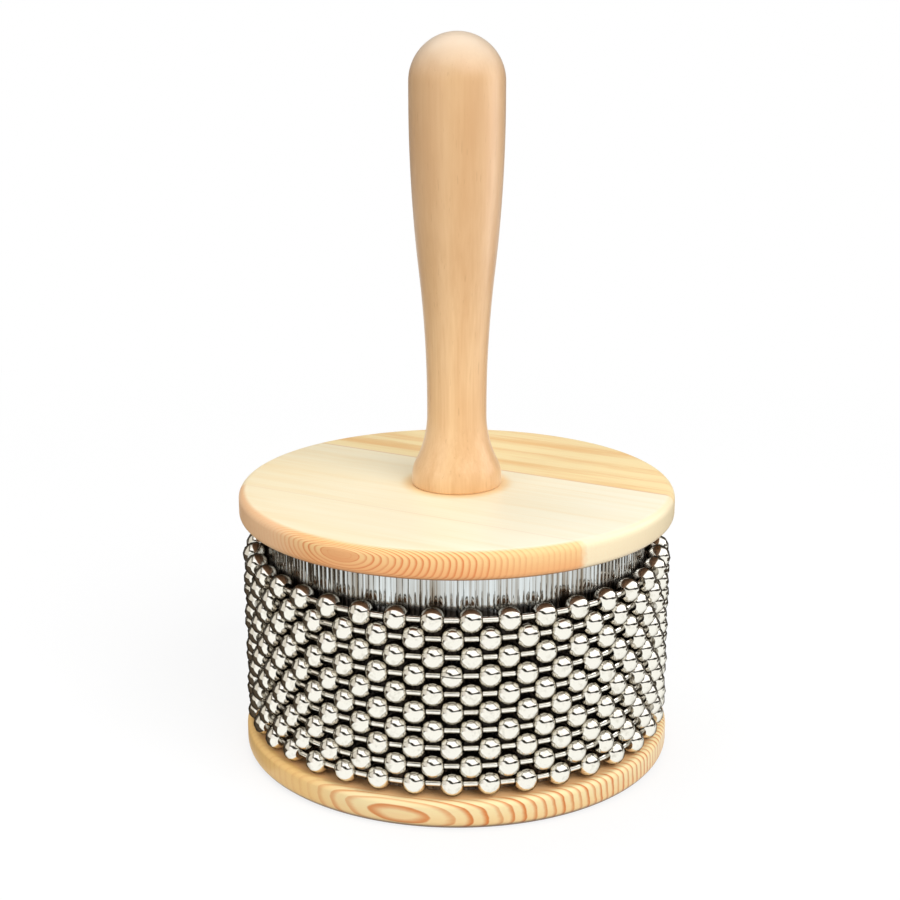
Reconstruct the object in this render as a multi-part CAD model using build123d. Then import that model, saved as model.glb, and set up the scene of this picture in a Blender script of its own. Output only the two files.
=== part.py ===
from build123d import *

import os
from math import atan2, cos, degrees, pi, radians, sin, sqrt

# Hand cabasa: a wooden drum on a turned handle, wrapped in ribbed steel and in loops of ball chain.
# Frame: +Z points up the handle, the origin is the centre of the bottom disc's underside and -Y is
# the front. The seam of the sleeve faces +Y. All lengths are millimetres.

# Ball chain: hollow balls strung on headed pins
BALL_DIAMETER = 6.2
BALL_WALL = 0.45
BALL_END_RIM = 0.45  # flat ring round each end hole
PIN_DIAMETER = 1.6
PIN_HOLE_CLEARANCE = 0.15  # radial
PIN_HEAD_OVERLAP = 0.25  # head past the hole, radial
PIN_HEAD_THICKNESS = 0.8
PIN_HEAD_LAND = 0.3  # straight part of the head's edge
PIN_HEAD_PLAY = 0.15  # head to the inside of the ball's end wall
CHAIN_PITCH = 8.96  # ball centre to ball centre
BALLS_PER_LOOP = 37
LOOP_COUNT = 10
NEST_CLEARANCE = 0.25  # between balls of neighbouring loops
FIRST_BALL_ANGLE = -1.4  # degrees from the front, on the lowest loop
SEAT_CLEARANCE = 0.6  # lowest loop to the bottom disc
LOOP_HEADROOM = 7.53  # free height between the highest loop and the top disc

# Ribbed steel sleeve, a sheet bent round the core and tacked along a butt seam
SLEEVE_CLEARANCE = 0.35  # rib crests to the balls
SHEET_THICKNESS = 0.3
RIB_RISE = 0.16  # crest above the middle of the sheet's wave
RIB_COUNT = 206
SEAM_GAP = 0.4
SLEEVE_END_CLEARANCE = 0.1
TACK_DIAMETER = 1.2
TACK_HEAD_DIAMETER = 2.4
TACK_HEAD_THICKNESS = 0.4
TACK_HEAD_BEVEL = 0.2
TACK_LENGTH = 9.0  # under the head
TACK_POINT = 1.6
TACK_ROWS = 3
TACK_END_DISTANCE = 9.0  # outer tacks to the discs
TACK_EDGE_DISTANCE = 0.65  # head to the edges of its margin
TACK_FIT = 0.02
TACK_SHEET_CLEARANCE = 0.1

# Turned wood
CORE_FIT = 0.05  # core to the sleeve's inner face
TOP_DISC_THICKNESS = 7.2
TOP_DISC_OVERHANG = 0.57  # past the balls
BOTTOM_DISC_THICKNESS = 7.2
BOTTOM_DISC_OVERHANG = 0.2
DISC_OUTER_ROUND = 2.2  # edges that face away from the drum
DISC_INNER_ROUND = 1.6  # edges that face the chain
DISC_LAND_SHARE = 0.04  # least part of a disc's edge left straight, when it is thin for its rounds
HANDLE_LENGTH = 114.2
HANDLE_GRIP_DIAMETER = 24.0  # its thickest, under the dome
HANDLE_GRIP_STRAIGHT = 5.0  # under the dome
HANDLE_NECK_DIAMETER = 15.3
HANDLE_NECK_HEIGHT = 18.5  # top of the flare above the disc
HANDLE_NECK_STRAIGHT = 2.5
HANDLE_FOOT_DIAMETER = 23.2
HANDLE_FOOT_BAND = 2.2  # straight band above the disc
HANDLE_FOOT_BREAK = 0.5
FOOT_BULGE_SHARE = 0.235  # part of the foot's flare that bulges, the rest is hollow
GRIP_BULGE_SHARE = 0.55  # part of the grip's swell that bulges

# Bolt through the whole stack, into an insert in the handle
BOLT_DIAMETER = 6.0
BOLT_HEAD_FLARE = 2.8  # countersunk head past the shank, radial
BOLT_HEAD_RIM = 0.4
BOLT_HEAD_SINK = 0.4  # head below the bottom face
BOLT_REACH = 15.0  # into the handle
BOLT_TIP_CHAMFER = 0.8
BOLT_TIP_ROOM = 2.0
BOLT_SOCKET_WIDTH = 4.0
BOLT_SOCKET_DEPTH = 2.0
BOLT_HOLE_CLEARANCE = 0.25
INSERT_WALL = 1.65
INSERT_LENGTH = 13.0
INSERT_SINK = 0.5
INSERT_FIT = 0.05
THREAD_FIT = 0.05

# The ball's holes and the pins in them
ball_radius = BALL_DIAMETER / 2
pin_radius = PIN_DIAMETER / 2
pin_hole_radius = pin_radius + PIN_HOLE_CLEARANCE
ball_end = sqrt(ball_radius**2 - (pin_hole_radius + BALL_END_RIM) ** 2)
hole_middle = ball_end - BALL_WALL / 2

# The loops, which set the drum's size
half_step = pi / BALLS_PER_LOOP
loop_radius = CHAIN_PITCH / (2 * sin(half_step))
nest_distance = BALL_DIAMETER + NEST_CLEARANCE
nest_offset = 2 * loop_radius * sin(half_step / 2)
loop_spacing = sqrt(nest_distance**2 - nest_offset**2)
chain_height = BALL_DIAMETER + (LOOP_COUNT - 1) * loop_spacing
drum_bottom = BOTTOM_DISC_THICKNESS
drum_height = SEAT_CLEARANCE + chain_height + LOOP_HEADROOM
drum_top = drum_bottom + drum_height
handle_bottom = drum_top + TOP_DISC_THICKNESS

# The sleeve's wave, from its crests inwards to the core
crest_radius = loop_radius - ball_radius - SLEEVE_CLEARANCE - SHEET_THICKNESS / 2
wave_radius = crest_radius - RIB_RISE
trough_radius = wave_radius - RIB_RISE
core_radius = trough_radius - SHEET_THICKNESS / 2 - CORE_FIT
margin_angle = (TACK_HEAD_DIAMETER + 2 * TACK_EDGE_DISTANCE) / trough_radius
seam_angle = SEAM_GAP / trough_radius
rib_angle = (2 * pi - 2 * margin_angle - seam_angle) / RIB_COUNT
first_rib_angle = pi + seam_angle / 2 + margin_angle
last_rib_angle = first_rib_angle + RIB_COUNT * rib_angle

bolt_hole_radius = BOLT_DIAMETER / 2 + BOLT_HOLE_CLEARANCE
thread_radius = BOLT_DIAMETER / 2 + THREAD_FIT
insert_radius = thread_radius + INSERT_WALL


def polar(radius, angle):
    """Point at an angle in radians from the front (-Y), turning towards +X."""
    return Vector(radius * sin(angle), -radius * cos(angle))


def on_drum(angle, radius, height):
    """Location on the drum whose X axis runs along the loop and whose -Y axis points outwards."""
    return Pos(0, 0, height) * Rot(0, 0, degrees(angle)) * Pos(0, -radius, 0)


def upright(radius, bottom, height):
    """Round bar on the drum's axis."""
    return Pos(0, 0, bottom + height / 2) * Cylinder(radius, height)


def turned(outline):
    """Solid of revolution about Z from a closed outline of radius and height."""
    return revolve(Plane.XZ * make_face(outline), Axis.Z)


def chain_ball():
    """Hollow ball with flattened, pierced ends, its bore along X."""
    hole, rim = pin_hole_radius, pin_hole_radius + BALL_END_RIM
    end, inner_end = ball_end, ball_end - BALL_WALL
    inner_radius = ball_radius - BALL_WALL
    inner_rim = sqrt(inner_radius**2 - inner_end**2)
    outline = [
        Line((-end, hole), (-end, rim)),
        ThreePointArc((-end, rim), (0, ball_radius), (end, rim)),
        Line((end, rim), (end, hole)),
        Line((end, hole), (inner_end, hole)),
        Line((inner_end, hole), (inner_end, inner_rim)),
        ThreePointArc((inner_end, inner_rim), (0, inner_radius), (-inner_end, inner_rim)),
        Line((-inner_end, inner_rim), (-inner_end, hole)),
        Line((-inner_end, hole), (-end, hole)),
    ]
    return revolve(make_face(outline), Axis.X)


def chain_pin():
    """Pin along X with a bevelled head at each end, from the inside of one ball to the next."""
    half_span = loop_radius * sin(half_step) - hole_middle * cos(half_step)
    face = half_span + BALL_WALL / 2 + PIN_HEAD_PLAY
    tip = face + PIN_HEAD_THICKNESS
    head_radius = pin_hole_radius + PIN_HEAD_OVERLAP
    bevel = face + PIN_HEAD_LAND
    half = [(face, pin_radius), (face, head_radius), (bevel, head_radius), (tip, pin_radius), (tip, 0)]
    other_half = [(-x, radius) for x, radius in reversed(half)]
    return revolve(make_face(Polyline(*other_half, *half, close=True)), Axis.X)


def chain_loop(number):
    """Balls and pins of one closed loop, counted from 0 at the bottom.

    Every other loop is turned by half a step, so that its balls nest between those below.
    """
    height = drum_bottom + SEAT_CLEARANCE + ball_radius + number * loop_spacing
    start = radians(FIRST_BALL_ANGLE) + (number % 2) * half_step
    angles = [start + 2 * half_step * i for i in range(BALLS_PER_LOOP)]
    pin_loop_radius = loop_radius * cos(half_step) + hole_middle * sin(half_step)
    ball, pin = chain_ball(), chain_pin()
    balls = [on_drum(angle, loop_radius, height) * ball for angle in angles]
    pins = [on_drum(angle + half_step, pin_loop_radius, height) * pin for angle in angles]
    return Compound(balls), Compound(pins)


def sheet_face(side):
    """Edges along one face of the ribbed sheet: side is 1 on the outer face and -1 on the inner one.

    The sheet's middle line is a plain margin, then equal arcs, crests and troughs in turn, that start
    and end at the bottom of a trough, then the other margin. Each face is half a sheet off that line.
    """
    off = side * SHEET_THICKNESS / 2
    low, high = trough_radius + off, crest_radius + off
    quarter = rib_angle / 4
    slope = 2 * atan2(RIB_RISE, wave_radius * quarter)
    edges = [margin_edge(low, first_rib_angle - margin_angle)]
    for rib in range(RIB_COUNT):
        foot = first_rib_angle + rib * rib_angle
        next_foot = foot + rib_angle
        rise, fall = foot + quarter, next_foot - quarter
        up = polar(wave_radius, rise) + polar(off, rise - slope)
        down = polar(wave_radius, fall) + polar(off, fall + slope)
        edges.append(trough_edge(low, foot, up))
        edges.append(Edge.make_three_point_arc(up, polar(high, foot + 2 * quarter), down))
        edges.append(trough_edge(low, next_foot, down))
    edges.append(margin_edge(low, last_rib_angle))
    return edges


def margin_edge(radius, start):
    """Arc round the drum along one plain margin of the sheet."""
    points = [polar(radius, start + share * margin_angle) for share in (0, 0.5, 1)]
    return Edge.make_three_point_arc(*points)


def trough_edge(low, foot_angle, side):
    """Arc from the bottom of a trough, where it runs level, to the point at the trough's side."""
    foot, out = polar(low, foot_angle), polar(1, foot_angle)
    chord = side - foot
    radius = chord.dot(chord) / (2 * chord.dot(out))
    centre = foot + out * radius
    middle = centre + (foot + side - centre * 2).normalized() * radius
    return Edge.make_three_point_arc(foot, middle, side)


def ribbed_sleeve():
    """Ribbed sheet bent round the core, with a column of tack holes on each side of its seam."""
    outer, inner = sheet_face(1), sheet_face(-1)
    closing = [Edge.make_line(outer[0] @ 0, inner[0] @ 0), Edge.make_line(outer[-1] @ 1, inner[-1] @ 1)]
    outline = Wire.combine(outer + inner + closing)[0]
    sheet = extrude(Face(outline), drum_height - 2 * SLEEVE_END_CLEARANCE, dir=(0, 0, 1))
    sheet = Pos(0, 0, drum_bottom + SLEEVE_END_CLEARANCE) * sheet
    return sheet - [place * tack_hole(TACK_SHEET_CLEARANCE) for place in tack_places()]


def tack_places():
    """Locations of the tacks on the sheet's outer face, with Z pointing out of the drum."""
    outer = trough_radius + SHEET_THICKNESS / 2
    aside = (seam_angle + margin_angle) / 2
    step = (drum_height - 2 * TACK_END_DISTANCE) / (TACK_ROWS - 1)
    heights = [drum_bottom + TACK_END_DISTANCE + step * row for row in range(TACK_ROWS)]
    angles = [pi - aside, pi + aside]
    return [on_drum(angle, outer, height) * Rot(90, 0, 0) for angle in angles for height in heights]


def tack_hole(clearance):
    """Round cutter for one tack, through the sheet and as deep as the tack."""
    depth = TACK_LENGTH + SHEET_THICKNESS
    middle = Pos(0, 0, SHEET_THICKNESS - depth / 2)
    return middle * Cylinder(TACK_DIAMETER / 2 + clearance, depth)


def sleeve_tacks():
    """Flat-headed tacks that hold the sheet's two margins to the core."""
    shank, head = TACK_DIAMETER / 2, TACK_HEAD_DIAMETER / 2
    seat = head**2 / (2 * trough_radius)  # lifts the flat head clear of the curved sheet
    top = seat + TACK_HEAD_THICKNESS
    outline = Polyline(
        (0, -TACK_LENGTH),
        (shank, TACK_POINT - TACK_LENGTH),
        (shank, seat),
        (head, seat),
        (head, top - TACK_HEAD_BEVEL),
        (head - TACK_HEAD_BEVEL, top),
        (0, top),
        close=True,
    )
    tack = turned(outline)
    return Compound([place * tack for place in tack_places()])


def core():
    """Solid wooden cylinder between the discs, bored for the bolt and the tacks."""
    block = upright(core_radius, drum_bottom, drum_height)
    block -= upright(bolt_hole_radius, drum_bottom, drum_height)
    return block - [place * tack_hole(TACK_FIT) for place in tack_places()]


def disc(radius, bottom, thickness, bottom_round, top_round):
    """Round board with eased edges and a hole for the bolt."""
    board = upright(radius, bottom, thickness)
    most = thickness * (1 - DISC_LAND_SHARE) / 2
    circles = board.edges().filter_by(GeomType.CIRCLE).sort_by(Axis.Z)
    board = fillet(circles[-1], min(top_round, most))
    circles = board.edges().filter_by(GeomType.CIRCLE).sort_by(Axis.Z)
    board = fillet(circles[0], min(bottom_round, most))
    return board - upright(bolt_hole_radius, bottom, thickness)


def top_disc():
    """Disc that closes the drum at the handle."""
    radius = loop_radius + ball_radius + TOP_DISC_OVERHANG
    return disc(radius, drum_top, TOP_DISC_THICKNESS, DISC_INNER_ROUND, DISC_OUTER_ROUND)


def bottom_disc():
    """Disc that the cabasa stands on, countersunk for the bolt's head."""
    radius = loop_radius + ball_radius + BOTTOM_DISC_OVERHANG
    board = disc(radius, 0, BOTTOM_DISC_THICKNESS, DISC_OUTER_ROUND, DISC_INNER_ROUND)
    return board - bolt_head(0, BOLT_HOLE_CLEARANCE)


def bolt_head(face, clearance):
    """Countersunk head, opened out by a clearance, with its flat face at a height."""
    shank = BOLT_DIAMETER / 2 + clearance
    head = shank + BOLT_HEAD_FLARE
    rim = BOLT_HEAD_SINK + BOLT_HEAD_RIM
    neck = rim + BOLT_HEAD_FLARE
    outline = Polyline((0, face), (head, face), (head, rim), (shank, neck), (0, neck), close=True)
    return turned(outline)


def through_bolt():
    """Countersunk bolt from the bottom disc up into the handle's insert, with a hexagon socket."""
    length = handle_bottom + BOLT_REACH - BOLT_HEAD_SINK
    shank = upright(BOLT_DIAMETER / 2, BOLT_HEAD_SINK, length)
    shank = chamfer(shank.edges().sort_by(Axis.Z)[-1], BOLT_TIP_CHAMFER)
    hexagon = RegularPolygon(BOLT_SOCKET_WIDTH / 2, 6, major_radius=False)
    socket = Pos(0, 0, BOLT_HEAD_SINK) * extrude(hexagon, BOLT_SOCKET_DEPTH)
    return shank + bolt_head(BOLT_HEAD_SINK, 0) - socket


def handle_insert():
    """Threaded bush let into the handle's foot."""
    bottom = handle_bottom + INSERT_SINK
    bush = upright(insert_radius, bottom, INSERT_LENGTH)
    return bush - upright(thread_radius, bottom, INSERT_LENGTH)


def handle():
    """Turned handle: a flared foot, a slim neck that swells to the grip, and a round end."""
    foot, neck, grip = HANDLE_FOOT_DIAMETER / 2, HANDLE_NECK_DIAMETER / 2, HANDLE_GRIP_DIAMETER / 2
    neck_top = HANDLE_NECK_HEIGHT + HANDLE_NECK_STRAIGHT
    dome_bottom = HANDLE_LENGTH - grip
    grip_bottom = dome_bottom - HANDLE_GRIP_STRAIGHT
    outline = [
        Line((0, 0), (foot - HANDLE_FOOT_BREAK, 0)),
        Line((foot - HANDLE_FOOT_BREAK, 0), (foot, HANDLE_FOOT_BREAK)),
        Line((foot, HANDLE_FOOT_BREAK), (foot, HANDLE_FOOT_BAND)),
        *ogee((foot, HANDLE_FOOT_BAND), (neck, HANDLE_NECK_HEIGHT), FOOT_BULGE_SHARE),
        Line((neck, HANDLE_NECK_HEIGHT), (neck, neck_top)),
        *ogee((grip, grip_bottom), (neck, neck_top), GRIP_BULGE_SHARE),
        Line((grip, grip_bottom), (grip, dome_bottom)),
        RadiusArc((grip, dome_bottom), (0, HANDLE_LENGTH), -grip),
        Line((0, HANDLE_LENGTH), (0, 0)),
    ]
    body = turned(outline)
    body -= upright(insert_radius + INSERT_FIT, 0, INSERT_SINK + INSERT_LENGTH)
    body -= upright(bolt_hole_radius, 0, BOLT_REACH + BOLT_TIP_ROOM)
    return Pos(0, 0, handle_bottom) * body


def ogee(wide, narrow, bulge_share):
    """Two tangent arcs, upright at both ends: a bulge at the wide end and a hollow at the narrow one."""
    width, rise = wide[0] - narrow[0], narrow[1] - wide[1]
    lean = 2 * atan2(width, abs(rise))
    both_radii = rise / sin(lean)
    bulge, hollow = both_radii * bulge_share, both_radii * (1 - bulge_share)

    def bulge_point(angle):
        """Point on the bulge at an angle from its upright end."""
        return wide[0] - abs(bulge) * (1 - cos(angle)), wide[1] + bulge * sin(angle)

    def hollow_point(angle):
        """Point on the hollow at an angle from its upright end."""
        return narrow[0] + abs(hollow) * (1 - cos(angle)), narrow[1] - hollow * sin(angle)

    join = bulge_point(lean)
    return [
        ThreePointArc(wide, bulge_point(lean / 2), join),
        ThreePointArc(join, hollow_point(lean / 2), narrow),
    ]


def main():
    """Writes one STEP file for each node."""
    nodes = {
        "handle": handle(),
        "handle_insert": handle_insert(),
        "top_disc": top_disc(),
        "bottom_disc": bottom_disc(),
        "core": core(),
        "ribbed_sleeve": ribbed_sleeve(),
        "sleeve_tacks": sleeve_tacks(),
        "through_bolt": through_bolt(),
    }
    for number in range(LOOP_COUNT):
        name = f"chain_{number + 1:02d}"
        nodes[f"{name}_balls"], nodes[f"{name}_pins"] = chain_loop(number)
    os.makedirs("parts", exist_ok=True)
    for name, shape in nodes.items():
        export_step(shape, f"parts/{name}.step")


main()
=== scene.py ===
import logging
import math
from dataclasses import dataclass
from enum import Enum
from typing import Any, Mapping, Optional, Union

import bpy
import numpy as np
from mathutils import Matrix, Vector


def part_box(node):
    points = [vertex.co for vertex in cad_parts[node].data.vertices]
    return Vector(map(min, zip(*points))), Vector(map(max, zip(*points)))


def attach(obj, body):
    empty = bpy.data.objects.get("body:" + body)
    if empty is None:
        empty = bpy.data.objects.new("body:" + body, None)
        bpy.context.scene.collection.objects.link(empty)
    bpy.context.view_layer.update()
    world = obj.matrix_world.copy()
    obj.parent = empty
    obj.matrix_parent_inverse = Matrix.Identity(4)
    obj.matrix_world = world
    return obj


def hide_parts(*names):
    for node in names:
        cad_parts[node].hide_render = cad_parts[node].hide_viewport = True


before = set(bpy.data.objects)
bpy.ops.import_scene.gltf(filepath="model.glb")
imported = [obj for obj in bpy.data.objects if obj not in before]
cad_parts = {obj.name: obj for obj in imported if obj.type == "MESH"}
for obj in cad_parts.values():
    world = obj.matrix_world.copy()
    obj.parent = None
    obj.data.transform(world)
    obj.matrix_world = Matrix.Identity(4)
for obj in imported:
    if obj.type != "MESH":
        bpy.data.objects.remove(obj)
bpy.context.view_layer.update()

LOG = logging.getLogger("cabasa")
SEED = 36
MM = 0.001
BOLT_HOLE = 3.25 * MM  # radius of the bolt's way through the wood
BOLT_RECESS = 6.05 * MM  # radius of the recess for its head
INNER_ROUND = 1.6 * MM  # of the discs' edges that face the chain
OUTER_ROUND = 2.2 * MM  # of those that face away from it

Colour = tuple[float, float, float]
Point = tuple[float, float, float]
Pair = tuple[float, float]
Heights = Union[np.ndarray, float]
WHITE: Colour = (1.0, 1.0, 1.0)


class Slot(Enum):
    """Names of the record's material slots, one for each kind of new piece."""

    TURNED_WOOD = "turned_wood"
    DISC_WOOD = "disc_wood"
    SLEEVE_STEEL = "sleeve_steel"
    BALL_NICKEL = "ball_nickel"
    PIN_NICKEL = "pin_nickel"


def srgb(red: int, green: int, blue: int) -> Colour:
    """Linear colour of a display colour.

    Args:
        red, green, blue: Display values from 0 to 255.

    Returns:
        The colour as a shader takes it.
    """
    values = np.array([red, green, blue]) / 255
    linear = np.where(values <= 0.04045, values / 12.92, ((values + 0.055) / 1.055) ** 2.4)
    return tuple(linear.tolist())


class Value:
    """A shader socket that takes part in Python expressions: each operator adds one Math node."""

    def __init__(self, graph: "Graph", socket: bpy.types.NodeSocket) -> None:
        """Wraps an output socket of a graph."""
        self.graph = graph
        self.socket = socket

    def also(self, output: Union[str, int]) -> "Value":
        """Another output of the same node."""
        return Value(self.graph, self.socket.node.outputs[output])

    def __add__(self, other: "Number") -> "Value":
        """self + other."""
        return self.graph.maths("ADD", self, other)

    def __sub__(self, other: "Number") -> "Value":
        """self - other."""
        return self.graph.maths("SUBTRACT", self, other)

    def __mul__(self, other: "Number") -> "Value":
        """self * other."""
        return self.graph.maths("MULTIPLY", self, other)

    def __truediv__(self, other: "Number") -> "Value":
        """self / other."""
        return self.graph.maths("DIVIDE", self, other)

    def __pow__(self, other: "Number") -> "Value":
        """self ** other."""
        return self.graph.maths("POWER", self, other)

    def __radd__(self, other: float) -> "Value":
        """other + self."""
        return self.graph.maths("ADD", other, self)

    def __rsub__(self, other: float) -> "Value":
        """other - self."""
        return self.graph.maths("SUBTRACT", other, self)

    def __rmul__(self, other: float) -> "Value":
        """other * self."""
        return self.graph.maths("MULTIPLY", other, self)

    def __rtruediv__(self, other: float) -> "Value":
        """other / self."""
        return self.graph.maths("DIVIDE", other, self)

    def __rpow__(self, other: float) -> "Value":
        """other ** self."""
        return self.graph.maths("POWER", other, self)


Number = Union[Value, float]
Tint = Union[Value, Colour]


class Graph:
    """The node tree of one material or of the world."""

    def __init__(self, tree: bpy.types.NodeTree) -> None:
        """Starts with an empty tree."""
        self.tree = tree
        tree.nodes.clear()

    def node(
        self,
        kind: str,
        settings: Optional[Mapping[str, Any]] = None,
        inputs: Optional[Mapping[Union[str, int], Any]] = None,
        output: Union[str, int] = 0,
    ) -> Value:
        """Adds any node.

        Args:
            kind: Blender's type name of the node.
            settings: Properties, such as a Math node's operation, set before the sockets.
            inputs: Values or links of the sockets, by name or number.
            output: The output to return.

        Returns:
            The chosen output.
        """
        made = self.tree.nodes.new(kind)
        for name, value in (settings or {}).items():
            setattr(made, name, value)
        for key, value in (inputs or {}).items():
            socket = made.inputs[key]
            if isinstance(value, Value):
                self.tree.links.new(value.socket, socket)
            elif socket.type == "RGBA":
                socket.default_value = (*value, 1.0)
            else:
                socket.default_value = value
        return Value(self, made.outputs[output] if made.outputs else None)

    def maths(self, operation: str, first: Number, second: Number = 0.0) -> Value:
        """One Math node."""
        return self.node("ShaderNodeMath", {"operation": operation}, {0: first, 1: second})

    def mix(self, first: Tint, second: Tint, share: Number) -> Value:
        """Colour between two colours, the second one at a share of 1."""
        return self.node("ShaderNodeMix", {"data_type": "RGBA"}, {0: share, 6: first, 7: second}, 2)

    def step(self, value: Number, low: float, high: float) -> Value:
        """0 below low, 1 above high, and smooth between."""
        inputs = {"Value": value, "From Min": low, "From Max": high}
        return self.node("ShaderNodeMapRange", {"interpolation_type": "SMOOTHSTEP"}, inputs)

    def parts(self, vector: Value) -> tuple[Value, Value, Value]:
        """X, Y and Z of a vector."""
        x = self.node("ShaderNodeSeparateXYZ", None, {0: vector})
        return x, x.also(1), x.also(2)

    def length(self, first: Value, second: Value) -> Value:
        """Root of the sum of two squares."""
        return self.maths("SQRT", first * first + second * second)

    def stretch(self, vector: Value, by: Point) -> Value:
        """Vector multiplied part by part."""
        return self.node("ShaderNodeVectorMath", {"operation": "MULTIPLY"}, {0: vector, 1: by})

    def noise(self, vector: Value, lumps: Point, detail: float = 2.0, roughness: float = 0.5) -> Value:
        """Noise from 0 to 1 with so many lumps per metre along each axis."""
        finer = {"Scale": 1.0, "Detail": detail, "Roughness": roughness}
        return self.node("ShaderNodeTexNoise", None, {"Vector": self.stretch(vector, lumps), **finer})

    def bump(self, height: Value, distance: float, strength: float) -> Value:
        """Normal of a relief that is distance metres deep."""
        inputs = {"Height": height, "Distance": distance, "Strength": strength}
        return self.node("ShaderNodeBump", None, inputs)

    def place(self) -> Value:
        """Object coordinates, in metres in the part's frame."""
        return self.node("ShaderNodeTexCoord", output="Object")

    def show(self, shader: Value, kind: str = "Material") -> None:
        """Ends the tree of a material, or of the world, with its output."""
        self.node(f"ShaderNodeOutput{kind}", None, {"Surface": shader})

    def surface(self, colour: Value, roughness: Value, normal: Value, plain: Mapping[str, Any]) -> None:
        """Ends a material with one Principled shader.

        Args:
            colour, roughness, normal: What changes over the surface.
            plain: Values of the sockets that are the same all over.
        """
        inputs = {"Base Color": colour, "Roughness": roughness, "Normal": normal, **plain}
        self.show(self.node("ShaderNodeBsdfPrincipled", None, inputs))


def new_material(name: str) -> tuple[bpy.types.Material, Graph]:
    """Node material with nothing in it.

    Args:
        name: The material's name.

    Returns:
        The material and its graph.
    """
    material = bpy.data.materials.new(name)
    material.use_nodes = True
    return material, Graph(material.node_tree)


@dataclass(frozen=True)
class Finish:
    """A finish by name; each kind of finish paints its own nodes."""

    name: str

    def material(self) -> bpy.types.Material:
        """Material with the nodes of the finish.

        Returns:
            The finished material.
        """
        material, graph = new_material(self.name)
        self.paint(graph)
        return material

    def paint(self, graph: Graph) -> None:
        """Adds the nodes of the finish to an empty graph."""
        raise NotImplementedError


@dataclass(frozen=True)
class Rings:
    """Growth rings of a board round a pith line that runs along the grain, beside the disc."""

    pith_height: float
    pith_fall: float  # per length along the grain
    pith_gap: float  # pith line to the disc's edge
    first_gap: float  # sets the width of the first rings
    growth: float  # below 1, rings widen away from the pith
    phase: float  # part of a ring
    heart: float  # dark share of the innermost oval
    unevenness: float  # how far the rings stray


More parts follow.
